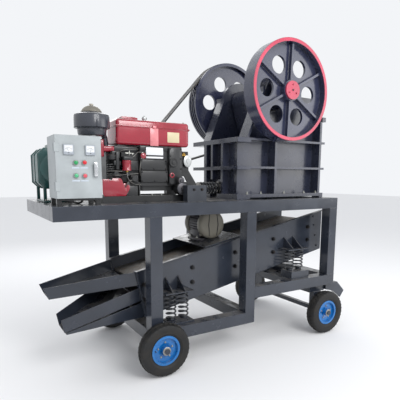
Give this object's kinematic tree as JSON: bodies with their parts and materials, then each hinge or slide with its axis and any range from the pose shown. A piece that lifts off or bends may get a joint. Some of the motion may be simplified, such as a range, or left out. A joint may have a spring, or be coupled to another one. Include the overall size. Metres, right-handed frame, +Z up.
{
  "type": "mobile jaw crushing and screening plant",
  "caption": "Wheeled jaw crusher plant: jaw crusher and diesel engine with belt drive on a steel frame, over a sprung vibrating screen with discharge chutes.",
  "frame": {"origin": "middle of the whole object on the ground, under the centre of its bounding box", "axes": "+X along the frame towards the crusher end, +Y across it towards the drive pulley, +Z up"},
  "size_m": [2.892, 1.3, 2.696],
  "materials": {
    "bare_steel": "satin",
    "belt_rubber": "matte",
    "cabinet_grey": "satin",
    "cast_steel": "matte",
    "crusher_paint": "gloss",
    "deck_paint": "satin",
    "engine_black": "satin",
    "engine_red": "gloss",
    "frame_paint": "gloss",
    "generator_green": "gloss",
    "motor_beige": "satin",
    "red_paint": "gloss",
    "rim_paint": "gloss",
    "spring_paint": "satin",
    "tyre_rubber": "matte"
  },
  "bodies": {
    "frame": {"air_cleaner": "engine_black", "bearing_stand": "cabinet_grey", "chute_end_axle": "frame_paint", "control_box": "cabinet_grey", "control_box_legs": "engine_black", "cross_members": "frame_paint", "crusher_back_wall": "crusher_paint", "crusher_end_axle": "frame_paint", "crusher_front_wall": "crusher_paint", "crusher_side_walls": "crusher_paint", "cylinder_head": "engine_black", "deck_plates": "deck_paint", "drive_belts": "belt_rubber", "engine_base": "engine_black", "engine_block": "engine_black", "fuel_filter": "engine_red", "fuel_tank": "engine_red", "generator": "generator_green", "high_screen_springs": "spring_paint", "intake_guard": "engine_red", "jaw_plates": "cast_steel", "low_screen_springs": "spring_paint", "lower_rails": "frame_paint", "posts": "frame_paint", "shaft_bearings": "crusher_paint", "side_guard": "engine_black", "spring_seats": "frame_paint", "starter_motor": "engine_black", "swing_jaw": "crusher_paint", "tension_rod": "bare_steel", "tension_spring": "spring_paint", "toggle_plate": "crusher_paint", "top_rails": "frame_paint", "tow_lugs": "frame_paint", "water_hopper": "engine_red"},
    "crusher_rotor": {"flywheel": "crusher_paint", "flywheel_hub_cap": "red_paint", "eccentric_shaft": "bare_steel", "drive_pulley": "crusher_paint"},
    "engine_rotor": {"engine_flywheel": "engine_black", "engine_pulley": "engine_black"},
    "box_door": {"control_box_door": "cabinet_grey"},
    "screen": {"screen_side_plates": "frame_paint", "screen_cross_bars": "frame_paint", "screen_decks": "bare_steel", "motor_plate": "frame_paint", "vibrator_motor": "motor_beige", "spring_brackets": "frame_paint", "upper_chute": "frame_paint", "middle_chute": "frame_paint", "lower_chute": "frame_paint"},
    "wheel_chute_near": {"tyre_chute_near": "tyre_rubber", "rim_chute_near": "rim_paint"},
    "wheel_chute_far": {"tyre_chute_far": "tyre_rubber", "rim_chute_far": "rim_paint"},
    "wheel_crusher_near": {"tyre_crusher_near": "tyre_rubber", "rim_crusher_near": "rim_paint"},
    "wheel_crusher_far": {"tyre_crusher_far": "tyre_rubber", "rim_crusher_far": "rim_paint"}
  },
  "joints": [
    {"name": "crusher_spin", "type": "hinge", "parent": "frame", "child": "crusher_rotor", "pos_m": [0.6, 0, 2.265], "axis": [0, 1, 0], "continuous": true},
    {"name": "engine_spin", "type": "hinge", "parent": "frame", "child": "engine_rotor", "pos_m": [-0.406, 0, 1.637], "axis": [0, 1, 0], "continuous": true},
    {"name": "door_swing", "type": "hinge", "parent": "frame", "child": "box_door", "pos_m": [-1.41, -0.47, 1.5765], "axis": [0, 0, 1], "range_deg": [-110, 0]},
    {"name": "screen_bounce", "type": "slide", "parent": "frame", "child": "screen", "axis": [0, 0, 1], "range_m": [-0.008, 0.008], "stiffness_N_per_m": 400000, "springref_m": 0.0122, "deforming": ["low_screen_springs", "high_screen_springs"]},
    {"name": "wheel_chute_near_spin", "type": "hinge", "parent": "frame", "child": "wheel_chute_near", "pos_m": [-0.686, -0.588, 0.208], "axis": [0, 1, 0], "continuous": true},
    {"name": "wheel_chute_far_spin", "type": "hinge", "parent": "frame", "child": "wheel_chute_far", "pos_m": [-0.686, 0.588, 0.208], "axis": [0, 1, 0], "continuous": true},
    {"name": "wheel_crusher_near_spin", "type": "hinge", "parent": "frame", "child": "wheel_crusher_near", "pos_m": [1.069, -0.588, 0.208], "axis": [0, 1, 0], "continuous": true},
    {"name": "wheel_crusher_far_spin", "type": "hinge", "parent": "frame", "child": "wheel_crusher_far", "pos_m": [1.069, 0.588, 0.208], "axis": [0, 1, 0], "continuous": true}
  ],
  "couplings": [
    {"joint": "engine_spin", "follows": "crusher_spin", "ratio": 4.4124}
  ]
}
